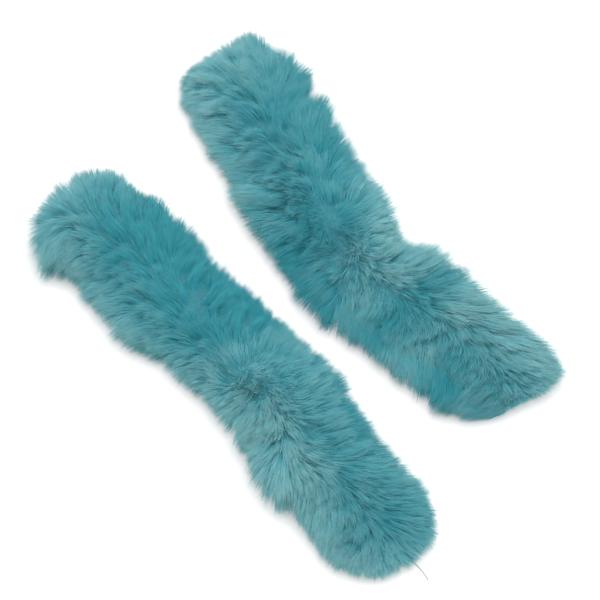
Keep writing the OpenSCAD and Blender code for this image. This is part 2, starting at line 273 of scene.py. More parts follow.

# Shade from 0, deep, to 1, pale: its base, the painted shade that it loses under the fold, how far it varies,
# and the pitch of its patches. Then how much less the tips pale under the fold, also as painted shade of the
# lower fibres, and the margin of both in the UV layer.
SHADE_BASE = 0.1
PAINTED_SHADE_UNDER = 0.25
CLUMP_SHADE = 0.1
TUFT_SHADE = 0.1
LOCK_SHADE = 0.1
PATCH_SHADE = 0.14
OWN_SHADE = 0.07
PATCH_S, PATCH_Y = 40 * MM, 30 * MM
PAINTED_SHADE_UNDER_TIPS = 0.35
UV_MARGIN = 0.02

# Underfur: inset from the sewn edge, less than 0 outside it, and height, in millimetres, then its lumps,
# and how far it goes with the ends' skew
UNDERFUR = [(1, 5.9), (-3, 6.8), (-5, 8.6), (-4, 11), (0, 13.4), (6, 15.4), (14, 16.6), (22, 17)]
LUMP_H = 0.9 * MM
LUMP_PITCH = 7 * MM
UNDERFUR_SKEW = 0.5

# Loose thread's route in millimetres, outward from the left strip's far sewn end
THREAD_ROUTE = [
    (-1.2, 0, 3.8), (-1.2, 0, 2.4), (-1, 0, 1.4), (-0.4, 0, 0.7), (0.6, 0.1, 0.35), (2, 0.2, 0.25),
    (5, 0.9, 0.25), (9, 2, 0.25), (13, 3, 0.25), (17, 3.7, 0.25), (21, 4.2, 0.25), (25, 4.3, 0.25),
    (29, 4, 0.25), (33.5, 3.2, 0.25),
]

# Colours of the pile from root to tip: the dye, darker at the root partly as painted shade deep in the pile,
# with the fringe's tips darker and greyer as painted shade of the lower fibres; and the tint that multiplies
# them in the deepest shade, painted and random alike
ROOT_DYE_AND_SHADE = (0.024, 0.265, 0.325)
MIDDLE_DYE = (0.084, 0.470, 0.545)
TIP_DYES_AND_SHADE = {"pile": (0.315, 0.604, 0.624), "fringe": (0.268, 0.504, 0.478)}
DEEP_TINT = (0.15, 0.61, 0.68)


def ramp(t):
    """A ramp from 0 to 1 with level ends."""
    c = np.clip(t, 0, 1)
    return c * c * (3 - 2 * c)


def follow(pairs, s):
    """A value at s, from pairs of place in millimetres and value, straight from each pair to the next."""
    place, value = np.array(pairs, float).T
    return np.interp(s, place * MM, value)


class Strip:
    """Centre line and sewn outline of one cuff, laid where the frame has it."""

    def __init__(self, name, heading, bends, **facts):
        self.name = name
        self.facts = facts
        self.seed = facts["seed"]
        self.s = np.arange(0, PILE_LEN + 1.5 * PATH_STEP, PATH_STEP)
        turn = sum(angle * ramp((self.s - at * MM) / BEND_RUN + 0.5) for at, angle in bends)
        self.h = np.radians(heading + turn)
        steps = PATH_STEP * np.stack([np.cos(self.h), np.sin(self.h)], 1)
        self.p = np.vstack([[0, 0], np.cumsum(steps, 0)[:-1]])
        low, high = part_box(name + "_fur_backing")
        drawn = self.place(*self.outline(0))[:, :2]
        self.p = self.p + (np.array(low[:2]) + high[:2] - drawn.min(0) - drawn.max(0)) / 2

    def heading(self, s):
        """The strip's direction at s, in radians."""
        return np.interp(np.clip(s, 0, self.s[-1]), self.s, self.h)

    def place(self, s, y, z=0.0):
        """Points of the frame from strip coordinates."""
        s, y, z = np.broadcast_arrays(s, y, z)
        inside = np.clip(s, 0, self.s[-1])
        h = self.heading(s)
        over = s - inside
        x0 = np.interp(inside, self.s, self.p[:, 0]) + over * np.cos(h)
        y0 = np.interp(inside, self.s, self.p[:, 1]) + over * np.sin(h)
        return np.stack([x0 - y * np.sin(h), y0 + y * np.cos(h), z], -1)

    def outline(self, inset):
        """The sewn outline less an inset, as s and y out along the left and back along the right."""
        stations = 96
        crowding = 0.7
        w = HALF_W - inset
        t = np.linspace(0, 1, stations + 1)
        t = t - crowding * np.sin(2 * np.pi * t) / (2 * np.pi)
        first, last = END_REACH + inset, PILE_LEN - END_REACH - inset
        s = first + (last - first) * t
        near = np.clip(np.minimum(s - first, last - s) / w, 0, 1)
        y = w * (1 - (1 - near) ** STRIP_SQUARENESS) ** (1 / STRIP_SQUARENESS)
        return np.concatenate([s, s[-2:0:-1]]), np.concatenate([y, -y[-2:0:-1]])

    def reach(self, s, y, out_s):
        """How far the pile hangs past the sewn edge, where out_s is the part of the way out along s."""
        side = np.where(y > 0, follow(self.facts["left_reach"], s), follow(self.facts["right_reach"], s))
        end = np.where(s < PILE_LEN / 2, self.facts["near_reach"], self.facts["far_reach"])
        share = out_s**2
        return (side * (1 - share) + end * share) * MM

    def askew(self, s, y, share):
        """Places along the strip, pulled askew towards its ends, by a share of the full pull."""
        near = self.facts["near_skew"] * MM * (1 - ramp(s / SKEW_RUN))
        far = self.facts["far_skew"] * MM * (1 - ramp((PILE_LEN - s) / SKEW_RUN))
        return s + (near + far) * share * y / HALF_W

    def stud(self, k):
        """Place along the strip of a stud, counted from 1."""
        return END_REACH + STUD_END + (k - 1) * (STRIP_LEN - 2 * STUD_END) / (STUD_COUNT - 1)


def noise(x, y, seed):
    """Smooth noise from -1 to 1 on a lattice of unit pitch."""
    size = 64
    table = np.random.default_rng(seed).uniform(-1, 1, (size, size))
    i, j = np.floor(x).astype(int), np.floor(y).astype(int)
    u, v = ramp(x - i), ramp(y - j)

    def at(a, b):
        return table[a % size, b % size]

    near = at(i, j) * (1 - u) + at(i + 1, j) * u
    far = at(i, j + 1) * (1 - u) + at(i + 1, j + 1) * u
    return near * (1 - v) + far * v


def nearest_tuft(s, y, pitch, seed):
    """The nearest of a scatter of tuft centres, and three random numbers that each tuft keeps."""
    size = 256
    scatter = 0.45
    tables = np.random.default_rng(seed).uniform(-1, 1, (5, size, size))
    i, j = np.floor(s / pitch).astype(int), np.floor(y / pitch).astype(int)
    best = np.full(s.shape, np.inf)
    found = np.zeros((5,) + s.shape)
    for di in (-1, 0, 1):
        for dj in (-1, 0, 1):
            keep = tables[:, (i + di) % size, (j + dj) % size]
            cs = (i + di + 0.5 + scatter * keep[0]) * pitch
            cy = (j + dj + 0.5 + scatter * keep[1]) * pitch
            gap = (cs - s) ** 2 + (cy - y) ** 2
            closer = gap < best
            best = np.where(closer, gap, best)
            found = np.where(closer, np.stack([cs, cy, *keep[2:]]), found)
    return found


def end_share(s):
    """0 along the strip, and up to 1 over the last half width before a sewn end."""
    mid = PILE_LEN / 2
    return np.clip((np.abs(s - mid) - (mid - END_REACH - HALF_W)) / HALF_W, 0, 1)


def spread(s, y):
    """How far out a root lies, from 0 on the spine to 1 at the sewn edge, and its way out as s and y."""
    along = end_share(s)
    across = np.clip(np.abs(y) / HALF_W, 0, 1)
    rho = np.clip((along**3 + across**3) ** (1 / 3), 0, 1)
    out_s = np.sign(s - PILE_LEN / 2) * along**1.5
    out_y = y / HALF_W
    size = np.maximum(np.hypot(out_s, out_y), 1e-6)
    return rho, out_s / size, out_y / size


def ruffled(strip, s, rho):
    """How tousled the pile is at a place along the strip, less toward its edge."""
    return follow(strip.facts["ruffle"], s) * (1 - CALM_LOSS * ramp((rho - CALM_FROM) / CALM_RUN))


def drawn_way(strip, s, y):
    """How far out from the parting a root lies, and the way that its fibre is drawn, as s and y."""
    wander = PARTING_WANDER * noise(s / PARTING_PITCH, 0 * s, strip.seed + PARTING_SEED)
    rho, out_s, out_y = spread(s, y - (follow(strip.facts["parting"], s) * MM + wander))
    slant = strip.facts["turn_slant"] * (1 - ramp(np.abs(s - TURN_AT) / TURN_RUN))
    at = s - slant * y
    nap, before, after = (follow(strip.facts["nap"], at + shift) for shift in (0, -NAP_BLEND, NAP_BLEND))
    nap = nap + (0.5 * before + 0.5 * after - nap) * rho**2
    splay = ramp(rho / SPLAYED_BY)
    return rho, splay * out_s + nap, splay * out_y


def comb(strip, s, y, root_z, length, lean, turn, fan, flat, steps):
    """Fibres from their roots, in strip coordinates, with the way that each one leans.

    lean and fan add to the fibre's angle off the vertical, flat scales it, and turn swings the fibre
    sideways. lean and turn are in degrees.
    """
    rho, pull_s, pull_y = drawn_way(strip, s, y)
    pull = np.clip(np.hypot(pull_s, pull_y), 0, 1)
    stand = np.maximum(pull, LEAST_PULL)
    tousle = 1 + TOUSLE * (1 - pull) ** 1.2
    loose = ruffled(strip, s, rho) * np.minimum(tousle, MOST_SWAY)

    def waver(degrees, pitch_s, pitch_y, seed):
        return loose * np.radians(degrees) * noise(s / pitch_s, y / pitch_y, strip.seed + seed)

    way = np.arctan2(pull_y, pull_s) + np.radians(turn) * tousle
    for at_s, at_y, wide, degrees in strip.facts["swirls"]:
        away = ((s / MM - at_s) ** 2 + (y / MM - at_y) ** 2) / wide**2
        way = way + np.radians(degrees) * np.exp(-away)
    way = way + waver(*SWAY, SWAY_SEED) + waver(*FINE_SWAY, FINE_SWAY_SEED)
    curl = waver(*CURL, CURL_SEED)
    swing = np.arctan2(TIP_ACROSS * pull_y, pull_s) - np.arctan2(ROOT_ACROSS * pull_y, pull_s)

    edge = rho**EDGE_POWER
    low = ((ROOT_SPINE + ROOT_EDGE * edge) * stand + ROOT_UNDER * fan) * flat + ROOT_SHARE * lean
    tip = (TIP_SPINE * stand + TIP_EDGE * edge + TIP_UNDER * fan) * flat + lean
    step_len = length * (UNDRAWN_LEN + (1 - UNDRAWN_LEN) * stand) / steps
    points = [np.stack([s, y, root_z], -1)]
    for k in range(steps):
        t = (k + 0.5) / steps
        a = np.radians(low + (tip - low) * t**0.9)
        now = way + curl * (t - CURL_ABOUT) + swing * (t - 0.5)
        step = np.stack([np.sin(a) * np.cos(now), np.sin(a) * np.sin(now), np.cos(a)], -1)
        points.append(points[-1] + step * step_len[:, None])
    return np.stack(points, 1), way


def face_roots(rng):
    """Roots on the cloth's face, denser to the sides: s, y, height, and a fan of none."""
    spare, to_sides, within = 1.12, 0.75, 0.99
    tries = int(FIBRES_TOP * spare)
    s = rng.uniform(END_REACH, PILE_LEN - END_REACH, tries)
    y = rng.uniform(-1, 1, tries)
    y = HALF_W * np.sign(y) * np.abs(y) ** to_sides
    inside = end_share(s) ** STRIP_SQUARENESS + np.abs(y / HALF_W) ** STRIP_SQUARENESS < within
    s, y = s[inside][:FIBRES_TOP], y[inside][:FIBRES_TOP]
    return s, y, np.full(len(s), PILE_Z - ROOT_DEPTH), np.zeros(len(s))


def edge_roots(strip, rng):
    """Roots round the cloth's folded edge: s, y, height, and a fan from 0 at its top to 1 at its bottom."""
    rim_inset = 0.2 * MM
    to_top = 1.3
    rim_s, rim_y = (np.append(v, v[0]) for v in strip.outline(rim_inset))
    run = np.append(0, np.cumsum(np.hypot(np.diff(rim_s), np.diff(rim_y))))
    at = rng.uniform(0, run[-1], FIBRES_RIM)
    fan = rng.uniform(0, 1, FIBRES_RIM) ** to_top
    z = PILE_Z - ROOT_DEPTH - (2 * BACKING_T - 2 * ROOT_DEPTH) * fan
    return np.interp(at, run, rim_s), np.interp(at, run, rim_y), z, fan


def grow(strip, rng, roots, points):
    """Fibres of one cuff from their roots: lines, side and outward ways, widths, shades, and how pale the
    tips get, both with painted shade.
    """
    s, y, root_z, fan = roots
    count = len(s)
    rim = fan > 0
    rho, out_s, _ = spread(s, y)
    loose = ruffled(strip, s, rho)

    # What each fibre draws by lot. One in four at the edge strays past the rest.
    wild = rng.uniform(0, 1, count) < WILD_SHARE
    fill = (rng.uniform(0, 1, count) < FILL_SHARE) & ~rim
    own = rng.normal(0, 1, (4, count))
    inner = rim & (rng.uniform(0, 1, count) < INNER_SHARE)
    stray = 1 + STRAY_MORE * rim * np.clip(rng.uniform(-3, 1, count), 0, 1)
    uneven = np.where(inner, rng.uniform(INNER_LEN, 1, count), stray) * (1 - UNDER_LESS * fan)
    lift = FLOOR_SPREAD * rng.uniform(0, 1, (count, 1))

    # Lengths follow the reach toward the edge, and where it is short, all but the lowest fibres stand up
    reach = strip.reach(s, y, out_s) + RIM_SPARE
    outer = ramp((rho - OUTER_FROM) / (1 - OUTER_FROM))
    upper = 1 - fan**2
    length = FIBRE_LEN + (np.maximum(reach, SHORTEST * upper) * uneven - FIBRE_LEN) * outer
    flat = 1 - outer * upper * (1 - np.minimum(reach / SHORTEST, 1))

    # Each fibre follows its clump, each clump its tuft, and each tuft its lock
    pitch, clump_len = (RIM_CLUMP_PITCH, RIM_CLUMP_LEN) if rim.any() else (CLUMP_PITCH, CLUMP_LEN)
    cs, cy, c_len, c_lean, c_turn = nearest_tuft(s, y, pitch, strip.seed + CLUMP_SEED)
    ts, ty, t_len, t_lean, t_turn = nearest_tuft(cs, cy, TUFT_PITCH, strip.seed + TUFT_SEED)
    ls, ly, l_len, l_lean, l_turn = nearest_tuft(ts, ty, LOCK_PITCH, strip.seed + LOCK_SEED)
    size = length * (1 + clump_len * c_len + TUFT_LEN * t_len + LOCK_LEN * l_len)
    lock_lean = LOCK_LEAN * loose * l_lean
    lock_turn = LOCK_TURN * loose**2 * l_turn
    tuft_lean = lock_lean + TUFT_LEAN * loose * t_lean
    tuft_turn = lock_turn + TUFT_TURN * loose * t_turn
    clump_lean = tuft_lean + (CLUMP_LEAN + CLUMP_RUFFLE * loose) * c_lean
    clump_turn = tuft_turn + (CLUMP_TURN + CLUMP_RUFFLE * loose) * c_turn
    own_size = size * (1 + OWN_LEN * own[0]) * np.where(fill, FILL_LEN, 1)
    own_lean = clump_lean + OWN_LEAN * own[1]
    own_turn = clump_turn + np.where(fill, FILL_TURN, OWN_TURN) * own[2]

    def combed(at_s, at_y, long, lean, turn):
        return comb(strip, at_s, at_y, root_z, long, lean, turn, fan, flat, points - 1)

    mine, way = combed(s, y, own_size, own_lean, own_turn)
    clump, _ = combed(cs, cy, size, clump_lean, clump_turn)
    tuft, _ = combed(ts, ty, size, tuft_lean, tuft_turn)
    lock, _ = combed(ls, ly, size, lock_lean, lock_turn)
    t = np.linspace(0, 1, points)
    free = wild | fill
    hold = np.where(free, FREE_TO_CLUMP, TO_CLUMP)[:, None, None] * t[:, None] ** 1.1
    gather = (loose * np.where(free, FREE_GATHER, 1))[:, None, None] * t[:, None] ** 1.3
    lines = mine + (clump - mine) * hold + ((tuft - clump) * TO_TUFT + (lock - tuft) * TO_LOCK) * gather

    # Crimp across the fibre's way
    wave = np.sin(2 * np.pi * (CRIMP_WAVES * t + own[3][:, None])) * t * CRIMP
    lines[..., 0] -= wave * np.sin(way)[:, None]
    lines[..., 1] += wave * np.cos(way)[:, None]

    # Ends pulled askew, room above the floor, and a soft cap on the height
    ps, py, pz = lines[..., 0], lines[..., 1], lines[..., 2]
    ps = strip.askew(ps, py, t)
    pz = np.maximum(pz, FLOOR_CLEAR + lift)
    pz = np.where(pz > CAP_FROM, CAP_FROM + CAP_ROOM * np.tanh((pz - CAP_FROM) / CAP_ROOM), pz)
    line = strip.place(ps, py, pz)

    ahead = way + strip.heading(s)
    side = np.stack([-np.sin(ahead), np.cos(ahead), np.zeros(count)], -1)
    spine = np.clip(ps, END_REACH + HALF_W, PILE_LEN - END_REACH - HALF_W)
    outward = line - strip.place(spine, 0, 0)
    outward /= np.linalg.norm(outward, axis=2, keepdims=True)
    width = FIBRE_W * np.clip(1 + OWN_WIDTH * own[0], 0.5, 1.5) * np.where(wild, WILD_WIDTH, 1)
    width = width * np.where(rim, np.clip(reach / BROADER_FROM, 1, BROADEST), 1)

    # Shade: painted light and shade along the strip, toward the edge and to one side, painted shade under the
    # fold, and random variation by clump, tuft, lock, fibre and patch
    tone = SHADE_BASE + follow(strip.facts["tone"], s) + strip.facts["painted_light_rim"] * rho
    tone = tone + follow(strip.facts["painted_light_tilt"], s) * y / HALF_W - PAINTED_SHADE_UNDER * fan
    tone = tone + CLUMP_SHADE * c_len + TUFT_SHADE * t_turn + LOCK_SHADE * l_turn + OWN_SHADE * own[1]
    tone = tone + PATCH_SHADE * noise(s / PATCH_S, y / PATCH_Y, strip.seed + PATCH_SEED)
    shade = np.clip(tone, UV_MARGIN, 1 - UV_MARGIN)
    # Tips under the fold stop short of the pale tip colour: painted shade of the lower fibres
    pale = 1 - PAINTED_SHADE_UNDER_TIPS * fan
    order = np.argsort(s, kind="stable")
    return [v[order] for v in (line, side, outward, width, shade, pale)]


def link(name, data):
    """A new object in the scene."""
    piece = bpy.data.objects.new(name, data)
    bpy.context.scene.collection.objects.link(piece)
    return piece


def blade_faces(rings):
    """Faces of one blade of three sides, as point numbers: rings from the root up, the tip and the foot."""
    faces = [
        [r * 3 + c, r * 3 + (c + 1) % 3, (r + 1) * 3 + (c + 1) % 3, (r + 1) * 3 + c]
        for r in range(rings - 1)
        for c in range(3)
    ]
    top, tip = (rings - 1) * 3, rings * 3
    faces += [[top + c, top + (c + 1) % 3, tip] for c in range(3)]
    return faces + [[2, 1, 0]]


def triangles_a_fibre(points):
    """Triangles of one blade along a line of some points."""
    return sum(len(face) - 2 for face in blade_faces(points - 1))


def fibre_mesh(name, line, side, outward, width, shade, pale):
    """Fibres as closed blades of three sides, broad side out, each tapering to a point.

    Their shading normals lean to the pile's own outward way, as light scattered among fibres does.
    """
    n, k, _ = line.shape
    rings = k - 1
    each = rings * 3 + 1
    ways = np.gradient(line, axis=1)
    ways /= np.linalg.norm(ways, axis=2, keepdims=True)
    out = np.cross(side[:, None], ways)
    out *= np.where(out[..., 2:].sum(1, keepdims=True) < 0, -1, 1)
    out /= np.maximum(np.linalg.norm(out, axis=2, keepdims=True), 1e-6)
    t = np.linspace(0, 1, k)
    swell = np.sin(np.pi * np.minimum(t / BLADE_BROAD_AT, 1) / 2)
    taper = (BLADE_ROOT + (1 - BLADE_ROOT) * swell) * (1 - BLADE_THINS * t**2.6)
    w = width[:, None, None] * taper[:, None]
    across = side[:, None] * w / 2
    corner = np.stack([line + across, line - across, line - out * w * BLADE_DEPTH], 2)[:, :rings]
    verts = np.concatenate([corner.reshape(n, rings * 3, 3), line[:, -1:]], 1)

    faces = blade_faces(rings)
    corners = ((np.arange(n) * each)[:, None] + np.concatenate(faces)).astype(np.int32).ravel()
    counts = np.tile([len(face) for face in faces], n)
    starts = (np.cumsum(counts) - counts).astype(np.int32)
    mesh = bpy.data.meshes.new(name)
    mesh.vertices.add(n * each)
    mesh.vertices.foreach_set("co", verts.astype(np.float32).ravel())
    mesh.loops.add(len(corners))
    mesh.loops.foreach_set("vertex_index", corners)
    mesh.polygons.add(len(starts))
    mesh.polygons.foreach_set("loop_start", starts)
    mesh.polygons.foreach_set("use_smooth", np.ones(len(starts), bool))

    # The UV layer holds each fibre's shade as U, and the height along the fibre as V, cut short under the
    # fold as painted shade
    height = pale[:, None] * np.append(np.repeat(t[:rings], 3), 1.0)
    uv = np.stack([np.repeat(shade, each), (UV_MARGIN + (1 - 2 * UV_MARGIN) * height).ravel()], -1)
    layer = mesh.uv_layers.new(name="OFBake")
    layer.data.foreach_set("uv", uv[corners].astype(np.float32).ravel())
    mesh.update(calc_edges=True)

    by_blade, by_pile, upward, sideways = 0.6, 0.45, 0.3, 0.3
    face = by_blade * out + by_pile * outward + np.array([0, 0, upward])
    tilt = sideways * side[:, None]
    normals = np.stack([face + tilt, face - tilt, -out], 2)[:, :rings].reshape(n, rings * 3, 3)
    normals = np.concatenate([normals, face[:, -1:]], 1).reshape(-1, 3)
    normals /= np.linalg.norm(normals, axis=1, keepdims=True)
    mesh.normals_split_custom_set_from_vertices(normals)
    return link(name, mesh)


def lofted(name, loops):
    """A closed mesh through loops of points, each mirrored about the line from its first to its middle."""
    n = len(loops[0])
    faces = []
    for k in range(len(loops) - 1):
        a, b = k * n, (k + 1) * n
        faces += [(a + i, a + (i + 1) % n, b + (i + 1) % n, b + i) for i in range(n)]
    last = (len(loops) - 1) * n
    half = n // 2
    rungs = [(0, 1, n - 1)] + [(i, i + 1, n - i - 1, n - i) for i in range(1, half - 1)]
    rungs.append((half - 1, half, half + 1))
    faces += [tuple(reversed(r)) for r in rungs]
    faces += [tuple(last + i for i in r) for r in rungs]
    mesh = bpy.data.meshes.new(name)
    mesh.from_pydata([tuple(p) for loop in loops for p in loop], [], faces)
    mesh.polygons.foreach_set("use_smooth", [True] * len(mesh.polygons))
    mesh.update()
    return link(name, mesh)


def underfur(strip):
    """The dense short fibres under the pile, as one body on the cloth, lumpy above its foot."""
    foot = UNDERFUR[0][1]
    loops = []
    for inset, z in UNDERFUR:
        s, y = strip.outline(inset * MM)
        s = strip.askew(s, y, UNDERFUR_SKEW)
        lump = LUMP_H * noise(s / LUMP_PITCH, y / LUMP_PITCH, strip.seed + LUMP_SEED) * (z > foot)
        loops.append(strip.place(s, y, z * MM + lump))
    return lofted(strip.name + "_underfur", loops)


def backing_cloth(strip):
    """The knitted cloth of the fur with its edge folded under as a hem: one closed skin round both layers."""
    skin = 0.05 * MM
    bend = 0.45 * MM
    slit = 0.08 * MM
    flat_from, middle_from = 4 * MM, 14 * MM
    crease, crease_from = 0.9 * MM, 1.2 * MM
    bulge = 0.1 * MM
    low, middle, high = HEM_Z + skin, BACKING_Z, PILE_Z - skin
    rings = [
        (middle_from, middle + slit), (crease_from, middle + slit), (crease, middle),
        (crease_from, middle - slit), (HEM_W, middle - slit),
        (HEM_W, low), (flat_from, low), (bend, low), (bulge, low + bend),
        (0, middle), (bulge, high - bend), (bend, high), (flat_from, high), (middle_from, high),
    ]
    loops = [strip.place(*strip.outline(inset), z) for inset, z in rings]
    return lofted(strip.name + "_knitted_backing", loops)


def lining_cloth(strip):
    """The woven lining, with an edge that each fell stitch draws in a little."""
    skin = 0.02 * MM
    draw, draw_run = 0.25 * MM, 3 * MM
    bevel_w, bevel_t = 0.5 * MM, 0.1 * MM
    flat_from, middle_from = 2 * MM, 6 * MM
    low, high = LINING_Z + skin, HEM_Z - skin
    rings = [
        (middle_from, low), (flat_from, low), (bevel_w, low), (0, low + bevel_t),
        (0, high - bevel_t), (bevel_w, high), (middle_from, high),
    ]
    loops = []
    for inset, z in rings:
        s, y = strip.outline(LINING_INSET + inset)
        run = np.append(0, np.cumsum(np.hypot(np.diff(s), np.diff(y))))
        near = np.clip(1 - inset / draw_run, 0, 1)
        pucker = draw * near * np.abs(np.sin(np.pi * run / STITCH_PITCH))
        loops.append(strip.place(s, y * (1 - pucker / HALF_W), z))
    return lofted(strip.name + "_woven_lining", loops)


def wadding(strip):
    """The soft filling inside the hem, thinner where it lies over the stays."""
    skin = 0.04 * MM
    edge_drop = 0.15 * MM
    pocket_run = 2 * MM
    first, last, pitch = 9, 23, 2
    insets = [WADDING_INSET, *np.arange(first, last + pitch, pitch) * MM]

    def under(s, y):
        over = [np.maximum(np.abs(s - strip.stud(k)), np.abs(y)) for k in range(1, STUD_COUNT + 1)]
        pocket = 1 - ramp((np.min(over, 0) - STAY_W / 2) / pocket_run)
        return HEM_Z + skin + (STAY_T + skin) * pocket

    loops = []
    for inset in reversed(insets):
        s, y = strip.outline(inset)
        loops.append(strip.place(s, y, under(s, y)))
    for inset in insets:
        s, y = strip.outline(inset)
        loops.append(strip.place(s, y, BACKING_Z - skin - edge_drop * (inset == WADDING_INSET)))
    return lofted(strip.name + "_wadding", loops)


def stay_cloth(strip, k):
    """A square of firm cloth behind a stud, with its corners just rounded by the shears."""
    corners = 40
    squareness = 8
    skin = 0.03 * MM
    bevel = 0.2 * MM
    middle, shoulder = 0.5, 0.97
    a = np.linspace(0, 2 * np.pi, corners, endpoint=False)
    r = (np.abs(np.cos(a)) ** squareness + np.abs(np.sin(a)) ** squareness) ** (-1 / squareness)
    rings = [
        (middle, skin), (shoulder, skin), (1, bevel),
        (1, STAY_T - bevel), (shoulder, STAY_T - skin), (middle, STAY_T - skin),
    ]
    loops = []
    for share, z in rings:
        w = share * (STAY_W / 2 - skin)
        loops.append(strip.place(strip.stud(k) + w * r * np.cos(a), w * r * np.sin(a), HEM_Z + z))
    return lofted(f"{strip.name}_stay_{k}", loops)


def smooth_route(points, steps):
    """Points on a smooth curve through the given ones."""
    pts = np.array(points, float)
    made = []
    for i in range(len(pts) - 1):
        o, p = pts[max(i - 1, 0)], pts[i]
        q, r = pts[i + 1], pts[min(i + 2, len(pts) - 1)]
        first, second, third = q - o, 2 * o - 5 * p + 4 * q - r, 3 * p - o - 3 * q + r
        for t in np.arange(steps) / steps:
            made.append(p + (t * first + t**2 * second + t**3 * third) / 2)
    return np.array(made + [pts[-1]])


def loose_thread(strip):
    """The loose tail of sewing thread, from the hem down to the floor and out under the pile."""
    x, y, z = (smooth_route(THREAD_ROUTE, 3) * MM).T
    end = PILE_LEN - END_REACH
    cos, sin = np.cos(strip.heading(end)), np.sin(strip.heading(end))
    x0, y0, _ = strip.place(end, 0)
    line = np.stack([x0 + x * cos - y * sin, y0 + x * sin + y * cos, z], -1)
    data = bpy.data.curves.new("left_loose_thread", "CURVE")
    data.dimensions = "3D"
    data.bevel_depth = THREAD_D / 2
    data.bevel_resolution = 3
    data.use_fill_caps = True
    spline = data.splines.new("POLY")
    spline.points.add(len(line) - 1)
    spline.points.foreach_set("co", np.column_stack([line, np.ones(len(line))]).ravel())
    length = np.linalg.norm(np.diff(line, axis=0), axis=1).sum()
    return link("left_loose_thread", data), line[0], length


class Shading:
    """A node material, with short ways to add nodes and join them."""

    def __init__(self, name):
        self.made = bpy.data.materials.new(name)
        self.made.use_nodes = True
        self.tree = self.made.node_tree
        self.shader = self.tree.nodes["Principled BSDF"]

    def node(self, kind, inputs=(), **settings):
        """A new node with its settings, and values or sockets for its inputs."""
        node = self.tree.nodes.new("ShaderNode" + kind)
        for key, value in settings.items():
            setattr(node, key, value)
        for key, value in dict(inputs).items():
            self.feed(node.inputs[key], value)
        return node

    def feed(self, socket, value):
        """Gives an input a value, or joins another node's socket to it."""
        if isinstance(value, bpy.types.NodeSocket):
            self.tree.links.new(value, socket)
        else:
            socket.default_value = value

    def ramp(self, factor, *stops):
        """A colour ramp with stops of place, red, green and blue."""
        node = self.node("ValToRGB", {"Fac": factor})
        elements = node.color_ramp.elements
        while len(elements) < len(stops):
            elements.new(0.5)
        for element, (place, *colour) in zip(elements, stops):
            element.position = place
            element.color = (*colour, 1)
        return node.outputs["Color"]

    def set(self, **inputs):
        """Sets or joins the shader's sockets, with _ for a space in their names."""
        for key, value in inputs.items():
            self.feed(self.shader.inputs[key.replace("_", " ")], value)

    def bump(self, height, distance, strength=1.0):
        """Relief from a height."""
        node = self.node("Bump", {"Height": height, "Distance": distance, "Strength": strength})
        self.set(Normal=node.outputs["Normal"])

    def place(self):
        """The place on the object, in metres."""
        return self.node("TexCoord").outputs["Object"]


def pile_material(name, tip):
    """Dyed acrylic fibres: deeper at the root, partly as painted shade, paler at the tip, each fibre in its
    own shade, which holds painted light and shade.
    """
    m = Shading(name)
    uv = m.node("UVMap", uv_map="OFBake").outputs["UV"]
    parts = m.node("SeparateXYZ", {"Vector": uv})
    rise = m.ramp(parts.outputs["Y"], (0, *ROOT_DYE_AND_SHADE), (0.5, *MIDDLE_DYE), (1, *tip))
    tint = m.ramp(parts.outputs["X"], (0, *DEEP_TINT), (1, 1, 1, 1))
    mix = m.node("Mix", {"Factor": 1.0, "A": rise, "B": tint}, data_type="RGBA", blend_type="MULTIPLY")
    m.set(Base_Color=mix.outputs["Result"], Roughness=0.62, Specular_IOR_Level=0.25, Sheen_Weight=0.1,
          Sheen_Roughness=0.5, Sheen_Tint=(0.75, 0.93, 0.95, 1))
    return m.made


def painted_shade_underfur_material():
    """The same dye, darkened as painted shade under the pile, mottled like packed fibre ends."""
    # Painted shade: both colours darker than the pile's own dye, as fibre ends look deep under the pile
    dark, light = (0.038, 0.195, 0.236), (0.064, 0.270, 0.315)
    m = Shading("dense_underfur_painted_shade")
    grain = m.node("TexNoise", {"Vector": m.place(), "Scale": 900.0, "Detail": 4.0}).outputs["Fac"]
    m.set(Base_Color=m.ramp(grain, (0.3, *dark), (0.7, *light)), Roughness=0.9, Specular_IOR_Level=0.1)
    m.bump(grain, 0.4 * MM)
    return m.made


def woven_material(name, dark, light, pitch, roughness, sheen):
    """A weave of the given thread pitch: two sets of threads, uneven in shade, under each other in turn."""
    m = Shading(name)
    place = m.place()
    waves = [
        m.node("TexWave", {"Vector": place, "Scale": 1 / (pitch * 20), "Distortion": 0.6, "Detail": 1.0,
                           "Detail Scale": 2.0}, bands_direction=axis).outputs["Fac"]
        for axis in ("X", "Y")
    ]
    weave = m.node("Math", {0: waves[0], 1: waves[1]}, operation="MAXIMUM").outputs["Value"]
    slub = m.node("TexNoise", {"Vector": place, "Scale": 160.0, "Detail": 5.0}).outputs["Fac"]
    both = m.node("Mix", {"Factor": 0.5, "A": weave, "B": slub}, data_type="FLOAT").outputs["Result"]
    m.set(Base_Color=m.ramp(both, (0.3, *dark), (0.75, *light)), Roughness=roughness, Sheen_Weight=sheen,
          Sheen_Roughness=0.4, Specular_IOR_Level=0.3)
    m.bump(weave, 0.12 * MM, 0.8)
    return m.made


def lining_material():
    """Smooth, fine lining cloth in a deeper teal than the pile."""
    dark, light = (0.030, 0.115, 0.140), (0.060, 0.190, 0.225)
    return woven_material("woven_lining", dark, light, pitch=0.45 * MM, roughness=0.42, sheen=0.15)


def backing_material():
    """Coarse, dull cloth that the pile grows from."""
    dark, light = (0.035, 0.130, 0.155), (0.075, 0.220, 0.255)
    return woven_material("knitted_backing", dark, light, pitch=1.1 * MM, roughness=0.85, sheen=0.3)


def stay_material():
    """Firm undyed cloth."""
    dark, light = (0.62, 0.62, 0.58), (0.80, 0.80, 0.77)
    return woven_material("firm_stay", dark, light, pitch=0.7 * MM, roughness=0.9, sheen=0.1)


